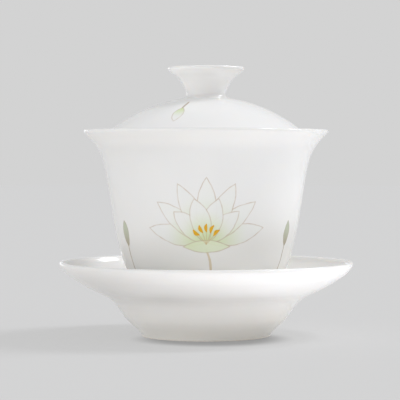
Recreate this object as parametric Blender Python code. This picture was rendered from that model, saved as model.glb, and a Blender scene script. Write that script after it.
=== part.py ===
"""A gaiwan, the lidded porcelain tea bowl: a saucer, a bowl that stands in it and a lid.

Metres, +Z up, with the origin in the middle of the saucer's foot ring, at the table. Every piece
is turned about Z from an outline of radius and height, which starts and ends on the axis. Each
piece has its own origin on that axis: the bowl lifts straight up off the saucer, and the lid
lifts straight up out of the bowl's flared rim.
"""

import math

import bpy
from mathutils import Matrix, Vector

# Between two pieces, where one rests on the other
REST_GAP = 0.0003

# Bowl, with heights counted from the bottom of its foot ring. On each piece, a rim's lean is how
# far the wall under it leans out from upright, and its run is how far that lean reaches down.
BOWL_HEIGHT = 0.0693
BOWL_RIM_RADIUS = 0.0460
BOWL_NECK_RADIUS = 0.0382
BOWL_BELLY_RADIUS = 0.0359
BOWL_BELLY_HEIGHT = 0.0398
BOWL_BASE_RADIUS = 0.0314
BOWL_BASE_HEIGHT = 0.0165
BOWL_HEEL_SPREAD = 0.0045
BOWL_HEEL_HEIGHT = 0.0080
BOWL_FLARE_DEPTH = 0.0099
BOWL_RIM_LEAN = math.radians(44)
BOWL_RIM_RUN = 0.0060
BOWL_FLOOR_WALL = 0.0032
BOWL_RIM_WALL = 0.0011
BOWL_FOOT_RADIUS = 0.0190
BOWL_FOOT_HEIGHT = 0.0063
BOWL_FOOT_WIDTH = 0.0024

# Lid: a dome whose round edge rests inside the bowl's flare, and a hollow knob on the dome
LID_SEAT_DEPTH = 0.0056
LID_WALL = 0.0024
LID_RISE = 0.0161
KNOB_HEIGHT = 0.0111
KNOB_RADIUS = 0.0144
KNOB_WAIST_RADIUS = 0.0063
KNOB_WAIST_HEIGHT = 0.0004
KNOB_BASE_RADIUS = 0.0096
KNOB_FLARE_RADIUS = 0.0108
KNOB_FLARE_HEIGHT = 0.0081
KNOB_RIM_LEAN = math.radians(40)
KNOB_RIM_RUN = 0.0028
KNOB_WALL = 0.0019
KNOB_RIM_WALL = 0.0013
KNOB_HOLLOW_FLOOR = 0.0040

# Saucer: a deep foot with a well for the bowl's foot ring, and a wide flange with an upturned lip
SAUCER_RADIUS = 0.0553
SAUCER_HEIGHT = 0.0280
SAUCER_FLOOR_WALL = 0.0032
SAUCER_FLANGE_WALL = 0.0026
SAUCER_RIM_WALL = 0.0016
SAUCER_RIM_LEAN = math.radians(22)
SAUCER_RIM_RUN = 0.0026
SAUCER_BRIM_DEPTH = 0.0065
SAUCER_BRIM_REACH = 0.0053
SAUCER_SHOULDER_HEIGHT = 0.0141
SAUCER_SHOULDER_SPREAD = 0.0104
SAUCER_FLANGE_HEIGHT = 0.0172
SAUCER_FLANGE_SPREAD = 0.0185
SAUCER_BELLY_HEIGHT = 0.0062
SAUCER_BELLY_SPREAD = 0.0065
SAUCER_HEEL_HEIGHT = 0.0031
SAUCER_HEEL_SPREAD = 0.0018
SAUCER_FOOT_SPREAD = 0.0042
SAUCER_FOOT_WIDTH = 0.0030
SAUCER_RECESS = 0.0048
WELL_DEPTH = 0.0011
WELL_PLAY = 0.0012

# Rounding of corners
FOOT_ROUNDING = 0.0006
RECESS_ROUNDING = 0.0015
WELL_ROUNDING = 0.0005
DISH_ROUNDING = 0.0040
HOLLOW_ROUNDING = 0.0020

# Fineness: segments round the axis, and points along a smooth side, a rounded corner or an edge
SEGMENTS = 48
SIDE_STEPS = 15
KNOB_STEPS = 9
DOME_STEPS = 10
CORNER_STEPS = 2
EDGE_STEPS = 4

# Glazed white porcelain, with the saucer a little warmer than the bowl and lid
PORCELAIN = {
    "bowl": (0.86, 0.86, 0.83),
    "lid": (0.87, 0.87, 0.84),
    "saucer": (0.85, 0.84, 0.80),
}
GLAZE_ROUGHNESS = 0.15


def smooth(guides, steps):
    """Points along the cubic B-spline that starts at the first guide and ends at the last."""
    spans = len(guides) - 3
    knots = [0] * 3 + list(range(spans + 1)) + [spans] * 3
    points = []
    for step in range(steps + 1):
        place = spans * step / steps
        first = min(int(place), spans - 1)
        near = [Vector(guide) for guide in guides[first:first + 4]]
        for level in range(1, 4):
            for index in range(3, level - 1, -1):
                low = knots[first + index]
                high = knots[first + index + 4 - level]
                share = (place - low) / (high - low)
                near[index] = near[index - 1].lerp(near[index], share)
        points.append(near[3])
    return points


def rim_guides(radius, height, wall, lean, run):
    """The last two guides of an outer face, below a round rim of this radius, height and wall."""
    middle = Vector((radius - wall / 2, height - wall / 2))
    end = middle + Vector((math.cos(lean), -math.sin(lean))) * wall / 2
    return [end - Vector((math.sin(lean), math.cos(lean))) * run, end]


def inner_side(side, first_wall, rim_wall, lean):
    """The inner face of a wall whose outer face is this side, from its first point to the rim."""
    last = len(side) - 1
    points = []
    for index, point in enumerate(side[:last]):
        run = side[index + 1] - side[max(index - 1, 0)]
        inward = Vector((-run.y, run.x)).normalized()
        points.append(point + inward * (first_wall + (rim_wall - first_wall) * index / last))
    return points + [side[last] + Vector((-math.cos(lean), math.sin(lean))) * rim_wall]


def half_turn(start, end):
    """Half circle, turned clockwise, that joins two ends of a wall; the ends are left out."""
    middle = (start + end) / 2
    spoke = start - middle
    turns = [-math.pi * step / EDGE_STEPS for step in range(1, EDGE_STEPS)]
    return [middle + Matrix.Rotation(turn, 2) @ spoke for turn in turns]


def fillet(before, corner, after, rounding):
    """Arc that rounds the corner between two straight runs."""
    back = (before - corner).normalized()
    on = (after - corner).normalized()
    half = back.angle(on) / 2
    centre = corner + (back + on).normalized() * (rounding / math.sin(half))
    reach = rounding / math.tan(half)
    start = (corner + back * reach - centre).normalized()
    end = (corner + on * reach - centre).normalized()
    spokes = [start.slerp(end, step / CORNER_STEPS) for step in range(CORNER_STEPS + 1)]
    return [centre + spoke * rounding for spoke in spokes]


def cornered(before, corners, after):
    """Straight runs through corners of (radius, height, rounding), between two points."""
    places = [before] + [Vector(corner[:2]) for corner in corners] + [after]
    points = []
    for index, corner in enumerate(corners):
        points += fillet(*places[index:index + 3], corner[2])
    return points


def crossing(side, height):
    """The first point at which a rising side passes this height, and the way it runs there."""
    for low, high in zip(side, side[1:]):
        if low.y <= height < high.y:
            share = (height - low.y) / (high.y - low.y)
            return low.lerp(high, share), (high - low).normalized()
    raise ValueError("the side doesn't reach this height")


def bowl_sides():
    """The bowl's outer and inner faces, from the axis under its floor to its rim."""
    rim = rim_guides(BOWL_RIM_RADIUS, BOWL_HEIGHT, BOWL_RIM_WALL, BOWL_RIM_LEAN, BOWL_RIM_RUN)
    outer = smooth(
        [
            (0, BOWL_FOOT_HEIGHT),
            (BOWL_FOOT_RADIUS - BOWL_FOOT_WIDTH * 2, BOWL_FOOT_HEIGHT),
            (BOWL_FOOT_RADIUS + BOWL_HEEL_SPREAD, BOWL_HEEL_HEIGHT),
            (BOWL_BASE_RADIUS, BOWL_BASE_HEIGHT),
            (BOWL_BELLY_RADIUS, BOWL_BELLY_HEIGHT),
            (BOWL_NECK_RADIUS, BOWL_HEIGHT - BOWL_FLARE_DEPTH),
            *rim,
        ],
        SIDE_STEPS,
    )
    return outer, inner_side(outer, BOWL_FLOOR_WALL, BOWL_RIM_WALL, BOWL_RIM_LEAN)


def bowl_outline():
    """Up the inside from its floor, over the rim, down the outside and round the foot ring."""
    outer, inner = bowl_sides()
    wall = [point for point in reversed(outer) if point.x > BOWL_FOOT_RADIUS + RECESS_ROUNDING]
    ring_inside = BOWL_FOOT_RADIUS - BOWL_FOOT_WIDTH
    floor = Vector((0, BOWL_FOOT_HEIGHT + BOWL_FLOOR_WALL))
    under = Vector((0, BOWL_FOOT_HEIGHT))
    foot = cornered(
        wall[-1],
        [
            (BOWL_FOOT_RADIUS, BOWL_FOOT_HEIGHT, RECESS_ROUNDING / 2),
            (BOWL_FOOT_RADIUS, 0, FOOT_ROUNDING),
            (ring_inside, 0, FOOT_ROUNDING),
            (ring_inside, BOWL_FOOT_HEIGHT, RECESS_ROUNDING),
        ],
        under,
    )
    lip = half_turn(inner[-1], outer[-1])
    return [floor] + inner[1:] + lip + wall + foot + [under]


def lid_seat():
    """Middle of the lid's round edge, a gap clear of the flare that it rests on."""
    inner = bowl_sides()[1]
    touch, run = crossing(inner, BOWL_HEIGHT - LID_SEAT_DEPTH)
    return touch + Vector((-run.y, run.x)) * (REST_GAP + LID_WALL / 2)


def lid_outline():
    """From the knob's hollow over its lip and down to the dome, round the edge and back inside."""
    reach = lid_seat().x
    dome_radius = (reach ** 2 + LID_RISE ** 2) / (2 * LID_RISE)
    dome_centre = Vector((0, LID_RISE - dome_radius))
    spread = math.asin(reach / dome_radius)

    def dome(radius, start):
        angles = [start + (spread - start) * step / DOME_STEPS for step in range(DOME_STEPS + 1)]
        return [dome_centre + radius * Vector((math.sin(a), math.cos(a))) for a in angles]

    top_radius = dome_radius + LID_WALL / 2
    base = math.asin(KNOB_BASE_RADIUS / top_radius)
    outside = dome(top_radius, base)
    inside = dome(dome_radius - LID_WALL / 2, 0)

    crown = LID_RISE + LID_WALL / 2
    top = crown + KNOB_HEIGHT
    knob = smooth(
        [
            outside[0],
            ((KNOB_BASE_RADIUS + KNOB_WAIST_RADIUS) / 2, outside[0].y + KNOB_WAIST_HEIGHT),
            (KNOB_WAIST_RADIUS, crown + KNOB_WAIST_HEIGHT),
            (KNOB_FLARE_RADIUS, crown + KNOB_FLARE_HEIGHT),
            *rim_guides(KNOB_RADIUS, top, KNOB_RIM_WALL, KNOB_RIM_LEAN, KNOB_RIM_RUN),
        ],
        KNOB_STEPS,
    )
    knob_inside = inner_side(knob, KNOB_WALL, KNOB_RIM_WALL, KNOB_RIM_LEAN)
    floor = crown + KNOB_HOLLOW_FLOOR
    floor_edge = crossing(knob_inside, floor)[0]
    hollow = [point for point in knob_inside if point.y > floor + HOLLOW_ROUNDING]
    middle = Vector((0, floor))
    corner = cornered(middle, [(floor_edge.x, floor, HOLLOW_ROUNDING)], hollow[0])
    lip = half_turn(hollow[-1], knob[-1])
    edge = half_turn(outside[-1], inside[-1])
    down = list(reversed(knob))
    back = list(reversed(inside))
    return [middle] + corner + hollow + lip + down + outside[1:] + edge + back


def well_floor():
    """Height of the well's floor, on which the bowl's foot ring rests."""
    return SAUCER_RECESS + SAUCER_FLOOR_WALL


def saucer_outline():
    """From the well over the dish, the flange and its lip, and down to the foot ring."""
    well_radius = BOWL_FOOT_RADIUS + WELL_PLAY
    foot_radius = well_radius + SAUCER_FOOT_SPREAD
    rim = rim_guides(
        SAUCER_RADIUS, SAUCER_HEIGHT, SAUCER_RIM_WALL, SAUCER_RIM_LEAN, SAUCER_RIM_RUN
    )
    outer = smooth(
        [
            (foot_radius, FOOT_ROUNDING),
            (foot_radius + SAUCER_HEEL_SPREAD, SAUCER_HEEL_HEIGHT),
            (foot_radius + SAUCER_BELLY_SPREAD, SAUCER_BELLY_HEIGHT),
            (foot_radius + SAUCER_SHOULDER_SPREAD, SAUCER_SHOULDER_HEIGHT),
            (foot_radius + SAUCER_FLANGE_SPREAD, SAUCER_FLANGE_HEIGHT),
            (SAUCER_RADIUS - SAUCER_BRIM_REACH, SAUCER_HEIGHT - SAUCER_BRIM_DEPTH),
            *rim,
        ],
        SIDE_STEPS,
    )
    inner = inner_side(outer, SAUCER_FLANGE_WALL, SAUCER_RIM_WALL, SAUCER_RIM_LEAN)
    dish_floor = well_floor() + WELL_DEPTH
    dish_edge = crossing(inner, dish_floor)[0]
    dish = [point for point in inner if point.y > dish_floor + DISH_ROUNDING / 2]
    middle = Vector((0, well_floor()))
    well = cornered(
        middle,
        [
            (well_radius, well_floor(), WELL_ROUNDING),
            (well_radius + WELL_DEPTH / 2, dish_floor, WELL_ROUNDING),
            (dish_edge.x, dish_floor, DISH_ROUNDING),
        ],
        dish[0],
    )
    ring_inside = foot_radius - SAUCER_FOOT_WIDTH
    under = Vector((0, SAUCER_RECESS))
    foot = cornered(
        outer[0],
        [
            (foot_radius, 0, FOOT_ROUNDING / 2),
            (ring_inside, 0, FOOT_ROUNDING),
            (ring_inside, SAUCER_RECESS, RECESS_ROUNDING),
        ],
        under,
    )
    down = list(reversed(outer))
    lip = half_turn(dish[-1], outer[-1])
    return [middle] + well + dish + lip + down + foot + [under]


def porcelain(name, colour):
    """Glossy white glaze on porcelain."""
    material = bpy.data.materials.new(name + "_glaze")
    material.use_nodes = True
    shader = material.node_tree.nodes["Principled BSDF"]
    shader.inputs["Base Color"].default_value = (*colour, 1)
    shader.inputs["Roughness"].default_value = GLAZE_ROUGHNESS
    shader.inputs["Metallic"].default_value = 0
    return material


def turned(name, outline, height):
    """One piece, turned about its own Z axis from its outline and stood at this height."""
    mesh = bpy.data.meshes.new(name)
    runs = [(index, index + 1) for index in range(len(outline) - 1)]
    mesh.from_pydata([(point.x, 0, point.y) for point in outline], runs, [])
    piece = bpy.data.objects.new(name, mesh)
    piece.location.z = height
    turn = piece.modifiers.new("turn", "SCREW")
    turn.axis = "Z"
    turn.steps = SEGMENTS
    turn.render_steps = SEGMENTS
    turn.use_merge_vertices = True
    turn.merge_threshold = 0.00001
    turn.use_smooth_shade = True
    mesh.materials.append(porcelain(name, PORCELAIN[name]))
    bpy.context.collection.objects.link(piece)
    return piece


def build():
    for old in list(bpy.data.objects):
        bpy.data.objects.remove(old)
    bowl_height = well_floor() + REST_GAP
    turned("saucer", saucer_outline(), 0)
    turned("bowl", bowl_outline(), bowl_height)
    turned("lid", lid_outline(), bowl_height + lid_seat().y)


build()
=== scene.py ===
import math

import bmesh
import bpy
from mathutils import Euler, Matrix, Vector


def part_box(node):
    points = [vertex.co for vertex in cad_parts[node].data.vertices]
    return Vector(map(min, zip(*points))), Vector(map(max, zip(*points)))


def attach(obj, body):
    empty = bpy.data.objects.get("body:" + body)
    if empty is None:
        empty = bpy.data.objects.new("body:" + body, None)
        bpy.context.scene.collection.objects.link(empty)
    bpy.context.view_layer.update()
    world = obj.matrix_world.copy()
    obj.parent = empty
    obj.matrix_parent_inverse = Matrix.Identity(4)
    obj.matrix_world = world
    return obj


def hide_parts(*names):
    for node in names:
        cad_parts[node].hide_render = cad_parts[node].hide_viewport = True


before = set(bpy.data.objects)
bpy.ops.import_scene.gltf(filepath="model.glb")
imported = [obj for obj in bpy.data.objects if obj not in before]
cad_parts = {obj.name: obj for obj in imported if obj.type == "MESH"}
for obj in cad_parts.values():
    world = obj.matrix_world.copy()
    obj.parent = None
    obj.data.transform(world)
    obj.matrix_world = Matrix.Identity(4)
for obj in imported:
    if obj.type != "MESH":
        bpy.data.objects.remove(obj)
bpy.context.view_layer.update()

# Camera: a long lens in front, a little lower than the bowl's rim and looking slightly down
CAMERA_DISTANCE = 0.679
CAMERA_HEIGHT = 0.0662
CAMERA_SIDE = -0.0023
CAMERA_PITCH = math.radians(-1.27)
CAMERA_LENS = 162
CAMERA_CLIP = (0.01, 50)
SENSOR_WIDTH = 36

# Studio: one grey for the backdrop and the floor, as linear light. The floor reflects only part of
# its light, which keeps its shadows faint, and gives off the rest. It gives off less in a soft
# patch where the saucer's foot stands, which is a painted contact shadow.
BACKDROP = 0.651
GROUND_RADIUS = 4
FLOOR_REFLECTS = 0.20
CONTACT_SHADOW_PLACE = Vector((0.002, -0.014, 0))
CONTACT_SHADOW_EDGE = (0.032, 0.018)
CONTACT_SHADOW_DEPTH = 0.23

# Soft distant lights: bearing from +X towards +Y, height over the horizon, strength and spread,
# with the angles in degrees. The two keys are a tall softbox on the right. The lights from under
# the horizon are what a bright table further off throws back up.
LIGHT_COLOUR = (0.99, 1, 1.04)
LIGHTS = {
    "key": (20, 38, 0.80, 14),
    "key_high": (20, 60, 0.75, 14),
    "fill_right": (-24, 24, 0.13, 40),
    "bounce_right": (26, -20, 0.30, 50),
    "bounce_back": (110, -16, 0.40, 50),
    "bounce_left": (215, -6, 0.80, 60),
}

# The near table, just under the floor: matt, with a glowing ring round the saucer that is
# brightest on one side
TABLE_COLOUR = (0.51, 0.49, 0.45)
TABLE_DROP = 0.0002
TABLE_GLOW = 0.15
GLOW_COLOUR = (0.98, 1, 1.09)
RING_GLOW = 0.37
RING_SIDE_GLOW = 1.0
RING_BEARING = math.radians(-16)
RING_INNER = (0.050, 0.070)
RING_OUTER = (0.140, 0.120)

# Turned pieces: rows no further apart than this along the outline, and segments round the axis
ROW_STEP = 0.0007
SEGMENTS = 160
SAME_PLACE = 1e-6
SHORTEST_RUN = 1e-7

# Glaze: a colour for each piece, faint clouds in it, and a few iron specks. A piece that stands on
# a foot ring gets painted warm shade, darker and warmer from this share of its height down to its
# foot, and a darker painted shade below this height over its foot.
GLAZE = {
    "saucer": (0.868, 0.862, 0.848),
    "bowl": (0.880, 0.877, 0.865),
    "lid": (0.885, 0.882, 0.872),
}
CLOUD_SCALE = 28.0
CLOUD_EDGE = (0.35, 0.75)
CLOUD_DARKENS = 0.985
WARM_SHADE = (0.862, 0.845, 0.795)
WARM_SHADE_STRENGTH = 0.7
WARM_SHADE_SHARE_OF_HEIGHT = 0.75
FOOT_SHADE = (0.82, 0.80, 0.74)
FOOT_SHADE_STRENGTH = 0.6
FOOT_SHADE_HEIGHT = 0.009
SPECK = (0.35, 0.27, 0.18)
SPECK_STRENGTH = 0.55
SPECK_CELLS = 95.0
SPECK_RARITY = (0.955, 0.965)
SPECK_EDGE = (0.024, 0.010)

# Bare porcelain under the foot rings, up to a ragged edge
STANDING = ("saucer", "bowl")
BISCUIT = (0.80, 0.76, 0.69)
BISCUIT_DARKENS = 0.9
BARE_HEIGHT = 0.00035
BARE_RAGGED = 0.0004
BARE_RAGGED_SCALE = 160.0
BARE_EDGE = (0.00008, -0.00008)
BARE_ROUGHER = 0.5
GRAIN_SCALE = 2600.0
GRAIN_EDGE = (0.3, 0.7)
GRAIN_RELIEF = 0.25

# Gloss and relief of the glaze: uneven roughness, a slow ripple and a fine orange peel
GLOSS_SCALE = 220.0
SMOOTHEST = 0.13
ROUGHNESS_SPREAD = 0.10
RIPPLE_SCALE = 95.0
PEEL_SCALE = 650.0
PEEL_RELIEF = 0.12
RELIEF_DEPTH = 0.00006
PORCELAIN_SOCKETS = {
    "IOR": 1.5,
    "Subsurface Weight": 0.25,
    "Subsurface Radius": (1.0, 0.85, 0.7),
    "Subsurface Scale": 0.0025,
    "Coat Weight": 0.35,
    "Coat Roughness": 0.04,
}

# Colours of the print
OUTLINE = (0.50, 0.37, 0.25)
PETAL = (0.87, 0.875, 0.85)
GREEN = (0.62, 0.74, 0.34)
LEAF_PALE = (0.79, 0.85, 0.64)
LEAF = (0.50, 0.54, 0.40)
OCHRE = (0.60, 0.44, 0.20)
STAMEN = (0.74, 0.40, 0.0)
STEM = (0.36, 0.26, 0.16)

# The print is drawn in millimetres. On the bowl that is on its side, unrolled at this radius, and
# the origin is the flower's heart, at the front and this far under the rim. On the lid the origin
# is the axis. Then come where petals start, just behind the heart, how far to each side of it the
# buds stand, and the bearing of the lid's bud in degrees.
MILLIMETRES = 1000.0
PRINT_RADIUS = 35.5
HEART_DROP = 40.6
PETAL_START = -1.0
BUD_ASIDE = 37.0
BUD_BEARING = -112

# How the print is laid on: how far a hand shakes and how often, the soft edges of fills, lines and
# strokes, how far a petal's wash reaches, and how a petal's outline comes and goes
SHAKE = 0.35
SHAKE_SCALE = 0.22
FILL_COVERS = 0.92
FILL_EDGE = (0.08, -0.08)
LINE_EDGE = (0.28, 0.08)
LINE_SCALE = 0.35
LINE_FAINTEST = 0.05
LINE_SPREAD = 0.75
STROKE_EDGE = (0.12, -0.06)
WASH_EDGE = (0.78, 0.05)


def outline(node):
    """A turned node's outline in the XZ plane, from its upper end on the axis to its lower one."""
    shape = bmesh.new()
    shape.from_mesh(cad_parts[node].data)
    bmesh.ops.remove_doubles(shape, verts=shape.verts, dist=SAME_PLACE)
    seam = {
        vertex for vertex in shape.verts
        if abs(vertex.co.y) < SAME_PLACE and vertex.co.x > -SAME_PLACE
    }
    beside = {
        vertex: seam.intersection(edge.other_vert(vertex) for edge in vertex.link_edges)
        for vertex in seam
    }
    ends = [vertex for vertex in seam if len(beside[vertex]) == 1]
    chain = [max(ends, key=lambda vertex: vertex.co.z)]
    while len(chain) < len(seam):
        chain += beside[chain[-1]].difference(chain)
    points = [Vector((vertex.co.x, vertex.co.z)) for vertex in chain]
    shape.free()

    # A flat disc has no vertex on the axis, so the outline is taken on to it there
    if points[0].x > SAME_PLACE:
        points.insert(0, Vector((0, points[0].y)))
    if points[-1].x > SAME_PLACE:
        points.append(Vector((0, points[-1].y)))
    return points


def between(before, start, end, after, share):
    """A point on the centripetal Catmull-Rom curve from start to end."""
    points = [before, start, end, after]
    times = [0]
    for first, second in zip(points, points[1:]):
        times.append(times[-1] + math.sqrt(max((second - first).length, SHORTEST_RUN)))
    time = times[1] + (times[2] - times[1]) * share
    for reach in (1, 2):
        points = [
            first.lerp(second, (time - times[i]) / (times[i + reach] - times[i]))
            for i, (first, second) in enumerate(zip(points, points[1:]))
        ]
    return points[0].lerp(points[1], share)


def smoothed(points):
    """The outline's points joined by a smooth curve, with more points along it."""
    first = Vector((-points[1].x, points[1].y))
    last = Vector((-points[-2].x, points[-2].y))
    padded = [first] + points + [last]
    rows = []
    for index in range(1, len(points)):
        near = padded[index - 1:index + 3]
        count = max(1, math.ceil((near[2] - near[1]).length / ROW_STEP))
        rows += [between(*near, step / count) for step in range(count)]
    return rows + [points[-1]]


def turned(node):
    """The node's shape at full smoothness, as a new piece that stands for it."""
    low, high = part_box(node)
    rows = [
        (min(max(point.x, 0), high.x), min(max(point.y, low.z), high.z))
        for point in smoothed(outline(node))
    ]
    turns = [2 * math.pi * step / SEGMENTS for step in range(SEGMENTS)]
    shape = bmesh.new()
    top = shape.verts.new((0, 0, rows[0][1]))
    under = shape.verts.new((0, 0, rows[-1][1]))
    rings = []
    for radius, height in rows[1:-1]:
        ring = [(radius * math.cos(turn), radius * math.sin(turn), height) for turn in turns]
        rings.append([shape.verts.new(place) for place in ring])
    for index in range(SEGMENTS):
        after = (index + 1) % SEGMENTS
        shape.faces.new((top, rings[0][index], rings[0][after]))
        shape.faces.new((under, rings[-1][after], rings[-1][index]))
        for upper, lower in zip(rings, rings[1:]):
            shape.faces.new((upper[index], lower[index], lower[after], upper[after]))
    bmesh.ops.recalc_face_normals(shape, faces=shape.faces)
    mesh = bpy.data.meshes.new(node + "_porcelain")
    shape.to_mesh(mesh)
    shape.free()
    mesh.shade_smooth()
    piece = bpy.data.objects.new(node + "_porcelain", mesh)
    bpy.context.scene.collection.objects.link(piece)
    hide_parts(node)
    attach(piece, node)
    return piece


class Graph:
    """A node tree, with a short way to add each kind of node to it."""

    def __init__(self, tree):
        self.tree = tree

    def feed(self, socket, value):
        if isinstance(value, bpy.types.NodeSocket):
            self.tree.links.new(value, socket)
        elif isinstance(value, tuple) and socket.type == "RGBA":
            socket.default_value = (*value, 1)
        else:
            socket.default_value = value

    def add(self, kind, inputs, **settings):
        node = self.tree.nodes.new(kind)
        for name, value in settings.items():
            setattr(node, name, value)
        for key, value in inputs.items():
            self.feed(node.inputs[key], value)
        return node

    def place(self):
        """Where a point of the surface is, in its object's own metres."""
        return self.add("ShaderNodeTexCoord", {}).outputs["Object"]

    def axes(self, vector):
        return self.add("ShaderNodeSeparateXYZ", {0: vector}).outputs

    def math(self, operation, *values):
        inputs = dict(enumerate(values))
        return self.add("ShaderNodeMath", inputs, operation=operation).outputs[0]

    def vector(self, operation, *values):
        node = self.add("ShaderNodeVectorMath", dict(enumerate(values)), operation=operation)
        return node.outputs["Value" if operation in ("DOT_PRODUCT", "LENGTH", "DISTANCE") else 0]

    def scaled(self, vector, factor):
        inputs = {0: vector, "Scale": factor}
        return self.add("ShaderNodeVectorMath", inputs, operation="SCALE").outputs[0]

    def step(self, value, low, high):
        """0 below low, 1 above high, smooth between; high may be the smaller."""
        inputs = {"Value": value, "From Min": low, "From Max": high}
        node = self.add("ShaderNodeMapRange", inputs, interpolation_type="SMOOTHSTEP")
        return node.outputs[0]

    def mix(self, factor, first, second):
        inputs = {"Factor": factor, "A": first, "B": second}
        node = self.tree.nodes.new("ShaderNodeMix")
        node.data_type = "RGBA"
        for name, value in inputs.items():
            socket = next(s for s in node.inputs if s.name == name and s.enabled)
            self.feed(socket, value)
        return next(s for s in node.outputs if s.enabled)

    def noise(self, place, scale, detail=2.0, output=0):
        inputs = {"Vector": place, "Scale": scale, "Detail": detail}
        return self.add("ShaderNodeTexNoise", inputs).outputs[output]


def new_group(name, inputs, outputs):
    """An empty node group with these sockets, its input node and its output node."""
    tree = bpy.data.node_groups.new(name, "ShaderNodeTree")
    for label, kind in inputs.items():
        tree.interface.new_socket(label, in_out="INPUT", socket_type="NodeSocket" + kind)
    for label, kind in outputs.items():
        tree.interface.new_socket(label, in_out="OUTPUT", socket_type="NodeSocket" + kind)
    return Graph(tree), tree.nodes.new("NodeGroupInput"), tree.nodes.new("NodeGroupOutput")


def petal_group():
    """Paints one petal, the overlap of two discs, over the print so far."""
    graph, given, result = new_group(
        "petal",
        {
            "Print": "Color", "Point": "Vector", "Left": "Vector", "Left Radius": "Float",
            "Right": "Vector", "Right Radius": "Float", "Base": "Vector", "Reach": "Float",
            "Fill": "Color", "Wash": "Color", "Wash Strength": "Float", "Line": "Color",
        },
        {"Print": "Color"},
    )
    take = given.outputs
    past = [
        graph.math("SUBTRACT", graph.vector("DISTANCE", take["Point"], take[side]),
                   take[side + " Radius"])
        for side in ("Left", "Right")
    ]
    edge = graph.math("MAXIMUM", *past)
    away = graph.math("DIVIDE", graph.vector("DISTANCE", take["Point"], take["Base"]),
                      take["Reach"])
    washed = graph.math("MULTIPLY", graph.step(away, *WASH_EDGE), take["Wash Strength"])
    fill = graph.mix(washed, take["Fill"], take["Wash"])
    covered = graph.math("MULTIPLY", graph.step(edge, *FILL_EDGE), FILL_COVERS)
    filled = graph.mix(covered, take["Print"], fill)
    line = graph.step(graph.math("ABSOLUTE", edge), *LINE_EDGE)
    uneven = graph.math("MULTIPLY_ADD", graph.noise(take["Point"], LINE_SCALE), LINE_SPREAD,
                        LINE_FAINTEST)
    drawn = graph.mix(graph.math("MULTIPLY", line, uneven), filled, take["Line"])
    graph.feed(result.inputs["Print"], drawn)
    return graph.tree


def stroke_group():
    """Paints one bowed brush stroke, which tapers towards its ends, over the print so far."""
    graph, given, result = new_group(
        "stroke",
        {
            "Print": "Color", "Point": "Vector", "Start": "Vector", "Run": "Vector",
            "Bow": "Vector", "Half Width": "Float", "Taper": "Float", "Colour": "Color",
            "Strength": "Float",
        },
        {"Print": "Color"},
    )
    take = given.outputs
    offset = graph.vector("SUBTRACT", take["Point"], take["Start"])
    along = graph.math("DIVIDE", graph.vector("DOT_PRODUCT", offset, take["Run"]),
                       graph.vector("DOT_PRODUCT", take["Run"], take["Run"]))
    along = graph.math("MINIMUM", graph.math("MAXIMUM", along, 0.0), 1.0)

    # A hump that is 0 at both ends of the stroke and 1 halfway
    hump = graph.math("MULTIPLY", along, graph.math("SUBTRACT", 1.0, along))
    hump = graph.math("MULTIPLY", hump, 4.0)
    spine = graph.vector("ADD", graph.scaled(take["Run"], along), graph.scaled(take["Bow"], hump))
    away = graph.vector("DISTANCE", offset, spine)
    narrowing = graph.math("MULTIPLY", take["Taper"], graph.math("SUBTRACT", 1.0, hump))
    half = graph.math("MULTIPLY", take["Half Width"], graph.math("SUBTRACT", 1.0, narrowing))
    inside = graph.step(graph.math("SUBTRACT", away, half), *STROKE_EDGE)
    painted = graph.math("MULTIPLY", inside, take["Strength"])
    graph.feed(result.inputs["Print"], graph.mix(painted, take["Print"], take["Colour"]))
    return graph.tree


def polar(turn, reach):
    """A point on the print, this many degrees round from the right and this far from its origin."""
    return (reach * math.cos(math.radians(turn)), reach * math.sin(math.radians(turn)))


def flat(point):
    """A point on the print as a vector."""
    return Vector((*point, 0))


def left_of(run):
    """The way to the left of a run across the print, one millimetre long."""
    return Vector((-run.y, run.x, 0)).normalized()


def fan(count, spread):
    """Bearings in degrees of an even, upright fan, the outermost first."""
    turns = [90 + spread * (index / (count - 1) - 0.5) for index in range(count)]
    return sorted(turns, key=lambda turn: (-abs(turn - 90), turn))


class Print:
    """A print built up from petals and strokes, on a flat plane measured in millimetres."""

    petal_tree = petal_group()
    stroke_tree = stroke_group()

    def __init__(self, graph, point, glaze):
        """The point is where the print is being painted, shaken a little as a hand shakes."""
        noise = graph.noise(point, SHAKE_SCALE, output="Color")
        shake = graph.vector("SUBTRACT", noise, Vector((0.5, 0.5, 0.5)))
        self.graph = graph
        self.point = graph.vector("MULTIPLY_ADD", shake, Vector((1, 1, 0)) * SHAKE * 2, point)
        self.colour = glaze

    def paint(self, tree, inputs):
        node = self.graph.add("ShaderNodeGroup", {}, node_tree=tree)
        for name, value in {"Print": self.colour, "Point": self.point, **inputs}.items():
            self.graph.feed(node.inputs[name], value)
        self.colour = node.outputs[0]

    def petal(self, base, tip, left, right, wash=0.6, fill=PETAL, tint=GREEN, line=OUTLINE):
        """A petal from base to tip whose two sides bulge out by left and right."""
        base = flat(base)
        run = flat(tip) - base

        def disc(bulge, way):
            radius = (run.length ** 2 / 4 + bulge ** 2) / (2 * bulge)
            return base + run / 2 - way * (radius - bulge), radius

        left_centre, left_radius = disc(left, left_of(run))
        right_centre, right_radius = disc(right, -left_of(run))
        self.paint(self.petal_tree, {
            "Left": left_centre, "Left Radius": left_radius,
            "Right": right_centre, "Right Radius": right_radius,
            "Base": base, "Reach": run.length, "Fill": fill, "Wash": tint,
            "Wash Strength": wash, "Line": line,
        })

    def stroke(self, start, end, width, colour, bow=0, taper=0.6, strength=0.9):
        """A brush stroke from start to end, bowed out to its left by bow."""
        start = flat(start)
        run = flat(end) - start
        self.paint(self.stroke_tree, {
            "Start": start, "Run": run, "Bow": left_of(run) * bow, "Half Width": width / 2,
            "Taper": taper, "Colour": colour, "Strength": strength,
        })


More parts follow.
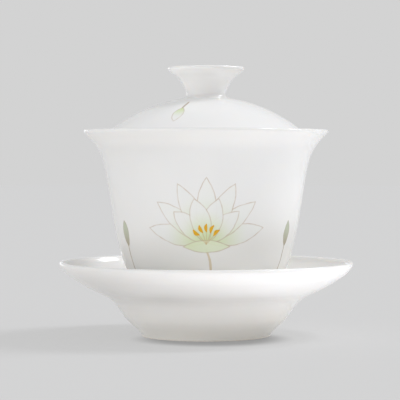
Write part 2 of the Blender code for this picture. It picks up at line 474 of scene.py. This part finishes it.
def bowl_print(graph, place, glaze):
    """A plain water lily between two buds, on the front of the bowl."""
    axes = graph.axes(place)
    front = graph.math("MULTIPLY", axes["Y"], -1.0)
    bearing = graph.math("ARCTAN2", axes["X"], front)
    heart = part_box("bowl")[1].z * MILLIMETRES - HEART_DROP
    across = graph.math("MULTIPLY", bearing, PRINT_RADIUS)
    up = graph.math("MULTIPLY_ADD", axes["Z"], MILLIMETRES, -heart)
    unrolled = graph.add("ShaderNodeCombineXYZ", {"X": across, "Y": up}).outputs[0]
    lily = Print(graph, unrolled, glaze)

    # One plain stem, an even fan of petals behind, an even fan in front, a leaf under them
    lily.stroke((0, -3), (0, -22), 0.9, OCHRE, bow=2.0, taper=0.2, strength=0.6)
    for count, spread, reach in ((7, 156, 23), (4, 96, 16)):
        for turn in fan(count, spread):
            lily.petal(polar(turn, PETAL_START), polar(turn, reach), 3.6, 3.6, wash=0.8)
    lily.petal((-9, -2), (9, -2), 2.4, 2.0, wash=0.2, fill=LEAF_PALE)

    # Stamens
    for turn in fan(5, 100):
        lily.stroke((0, -1), polar(turn, 4.0), 0.3, OCHRE, taper=0.1, strength=0.5)
        lily.stroke(polar(turn, 3.6), polar(turn, 6.2), 1.2, STAMEN, bow=0.3, strength=1)

    # A bud on a stem on either side
    for side in (-BUD_ASIDE, BUD_ASIDE):
        lily.stroke((side, -14), (side, -2), 0.5, STEM, taper=0.2, strength=0.7)
        lily.petal((side, -2.5), (side, 7), 1.9, 1.9, wash=0.6, fill=LEAF, tint=STEM, line=STEM)
    return lily.colour


def lid_print(graph, place, glaze):
    """A small bud on a short stem, which points outwards on the lid's dome."""
    level = graph.vector("MULTIPLY", place, Vector((1, 1, 0)) * MILLIMETRES)
    spray = Print(graph, level, glaze)
    spray.stroke(polar(BUD_BEARING, 17), polar(BUD_BEARING, 24), 0.8, STEM, taper=0.2, strength=0.7)
    spray.petal(polar(BUD_BEARING, 23), polar(BUD_BEARING, 32), 1.9, 1.9, wash=0.9)
    return spray.colour


PRINTS = {"bowl": bowl_print, "lid": lid_print}


def darker(colour, factor):
    return tuple(channel * factor for channel in colour)


def glaze_colour(graph, place, node):
    """Faint clouds, painted warm shade towards the foot of a piece that stands, the print, and iron
    specks.
    """
    clouds = graph.step(graph.noise(place, CLOUD_SCALE, 3.0), *CLOUD_EDGE)
    colour = graph.mix(clouds, GLAZE[node], darker(GLAZE[node], CLOUD_DARKENS))
    if node in STANDING:
        height = graph.axes(place)["Z"]
        foot, crown = (corner.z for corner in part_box(node))
        # Painted shade: darker and warmer from part way up down to the foot, and darker still over
        # the foot
        warm_shade_to = foot + WARM_SHADE_SHARE_OF_HEIGHT * (crown - foot)
        warm_shade_mask = graph.math("MULTIPLY", graph.step(height, warm_shade_to, foot), WARM_SHADE_STRENGTH)
        colour = graph.mix(warm_shade_mask, colour, WARM_SHADE)
        foot_shade_mask = graph.step(height, foot + FOOT_SHADE_HEIGHT, foot)
        colour = graph.mix(graph.math("MULTIPLY", foot_shade_mask, FOOT_SHADE_STRENGTH), colour, FOOT_SHADE)
    if node in PRINTS:
        colour = PRINTS[node](graph, place, colour)
    cells = graph.add("ShaderNodeTexVoronoi", {"Vector": place, "Scale": SPECK_CELLS}).outputs
    draw = graph.add("ShaderNodeSeparateColor", {0: cells["Color"]}).outputs[0]
    speck = graph.math("MULTIPLY", graph.step(cells["Distance"], *SPECK_EDGE),
                       graph.step(draw, *SPECK_RARITY))
    return graph.mix(graph.math("MULTIPLY", speck, SPECK_STRENGTH), colour, SPECK)


def bare_foot(graph, place, node):
    """1 on the bare bottom of the node's foot ring, 0 on its glaze, with a ragged edge."""
    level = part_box(node)[0].z + BARE_HEIGHT
    ragged = graph.math("MULTIPLY_ADD", graph.noise(place, BARE_RAGGED_SCALE), BARE_RAGGED, level)
    return graph.step(graph.math("SUBTRACT", graph.axes(place)["Z"], ragged), *BARE_EDGE)


def porcelain(node):
    """Glazed porcelain, bare and fine-grained where a foot ring stands."""
    material = bpy.data.materials.new(node + "_glaze_finish")
    material.use_nodes = True
    graph = Graph(material.node_tree)
    shader = material.node_tree.nodes["Principled BSDF"]
    place = graph.place()

    colour = glaze_colour(graph, place, node)
    rough = graph.math("MULTIPLY_ADD", graph.noise(place, GLOSS_SCALE, 4.0), ROUGHNESS_SPREAD,
                       SMOOTHEST)
    relief = graph.math("MULTIPLY_ADD", graph.noise(place, PEEL_SCALE), PEEL_RELIEF,
                        graph.noise(place, RIPPLE_SCALE, 1.0))
    if node in STANDING:
        bare = bare_foot(graph, place, node)
        grain = graph.noise(place, GRAIN_SCALE, 3.0)
        biscuit = graph.mix(graph.step(grain, *GRAIN_EDGE), BISCUIT,
                            darker(BISCUIT, BISCUIT_DARKENS))
        colour = graph.mix(bare, colour, biscuit)
        rough = graph.math("MULTIPLY_ADD", bare, BARE_ROUGHER, rough)
        relief = graph.math("MULTIPLY_ADD", grain, graph.math("MULTIPLY", bare, GRAIN_RELIEF),
                            relief)
    bump = graph.add("ShaderNodeBump", {"Height": relief, "Strength": 1.0, "Distance": RELIEF_DEPTH})
    graph.feed(shader.inputs["Base Color"], colour)
    graph.feed(shader.inputs["Roughness"], rough)
    graph.feed(shader.inputs["Normal"], bump.outputs[0])
    for name, value in PORCELAIN_SOCKETS.items():
        shader.inputs[name].default_value = value
    return material


def sun(name, bearing, height, strength, spread):
    """A soft distant light; returns how much it lights the floor, as a share of full white."""
    lamp = bpy.data.lights.new(name, "SUN")
    lamp.energy = strength
    lamp.color = LIGHT_COLOUR
    lamp.angle = math.radians(spread)
    towards = Vector((math.cos(math.radians(height)), 0, math.sin(math.radians(height))))
    towards.rotate(Euler((0, 0, math.radians(bearing))))
    carrier = bpy.data.objects.new(name, lamp)
    carrier.rotation_euler = towards.to_track_quat("Z", "Y").to_euler()
    bpy.context.scene.collection.objects.link(carrier)
    return strength * max(towards.z, 0) / math.pi


def ground(name, colour, glow_colour, glow):
    """A large matt disc on the ground, which hides no light from what stands on it.

    The glow is a function that takes the disc's graph and the place on the disc, and returns how
    much light the disc gives off there.
    """
    shape = bmesh.new()
    bmesh.ops.create_circle(shape, cap_ends=True, segments=64, radius=GROUND_RADIUS)
    mesh = bpy.data.meshes.new(name)
    shape.to_mesh(mesh)
    shape.free()
    disc = bpy.data.objects.new(name, mesh)
    bpy.context.scene.collection.objects.link(disc)
    disc.visible_shadow = False
    material = bpy.data.materials.new(name)
    material.use_nodes = True
    graph = Graph(material.node_tree)
    sockets = material.node_tree.nodes["Principled BSDF"].inputs
    sockets["Base Color"].default_value = (*colour, 1)
    sockets["Specular IOR Level"].default_value = 0
    sockets["Roughness"].default_value = 1
    sockets["Emission Color"].default_value = (*glow_colour, 1)
    graph.feed(sockets["Emission Strength"], glow(graph, graph.place()))
    mesh.materials.append(material)
    return disc


def table_glow(graph, place):
    """A faint glow all over, with a ring of light round the saucer that is brightest on one side."""
    away = graph.vector("LENGTH", place)
    side = Vector((math.cos(RING_BEARING), math.sin(RING_BEARING), 0))
    cosine = graph.math("DIVIDE", graph.vector("DOT_PRODUCT", place, side), away)
    ring = graph.math("MULTIPLY", graph.step(away, *RING_INNER), graph.step(away, *RING_OUTER))
    glow = graph.math("MULTIPLY_ADD", cosine, RING_SIDE_GLOW, RING_GLOW)
    return graph.math("MULTIPLY_ADD", graph.math("MAXIMUM", glow, 0.0), ring, TABLE_GLOW)


def studio():
    """Even light all round and soft distant lights, over a floor as bright as the backdrop.

    The floor is what is seen, and it throws no soft light back up on the porcelain. That light
    comes from a table just under it, which is itself unseen.
    """
    world = bpy.data.worlds.new("studio")
    world.use_nodes = True
    background = world.node_tree.nodes["Background"]
    background.inputs["Color"].default_value = (BACKDROP, BACKDROP, BACKDROP, 1)
    bpy.context.scene.world = world
    lit = BACKDROP + sum(sun(name, *light) for name, light in LIGHTS.items())

    def floor_glow_and_shadow(graph, place):
        # A painted contact shadow: the floor gives off less in a soft patch round the saucer's foot
        shade = graph.step(graph.vector("DISTANCE", place, CONTACT_SHADOW_PLACE), *CONTACT_SHADOW_EDGE)
        return graph.math("MULTIPLY_ADD", shade, -CONTACT_SHADOW_DEPTH, BACKDROP - FLOOR_REFLECTS * lit)

    floor = ground("floor", (FLOOR_REFLECTS,) * 3, (1, 1, 1), floor_glow_and_shadow)
    floor.visible_diffuse = False
    table = ground("table", TABLE_COLOUR, GLOW_COLOUR, table_glow)
    table.visible_camera = False
    table.visible_glossy = False
    table.location.z = -TABLE_DROP


def camera():
    lens = bpy.data.cameras.new("camera")
    lens.lens = CAMERA_LENS
    lens.sensor_width = SENSOR_WIDTH
    lens.clip_start, lens.clip_end = CAMERA_CLIP
    eye = bpy.data.objects.new("camera", lens)
    eye.location = (CAMERA_SIDE, -CAMERA_DISTANCE, CAMERA_HEIGHT)
    eye.rotation_euler = (math.pi / 2 + CAMERA_PITCH, 0, 0)
    bpy.context.scene.collection.objects.link(eye)
    bpy.context.scene.camera = eye


camera()
studio()
bpy.context.scene.view_settings.view_transform = "Standard"
for node in ("saucer", "bowl", "lid"):
    piece = turned(node)
    piece.data.materials.append(porcelain(node))
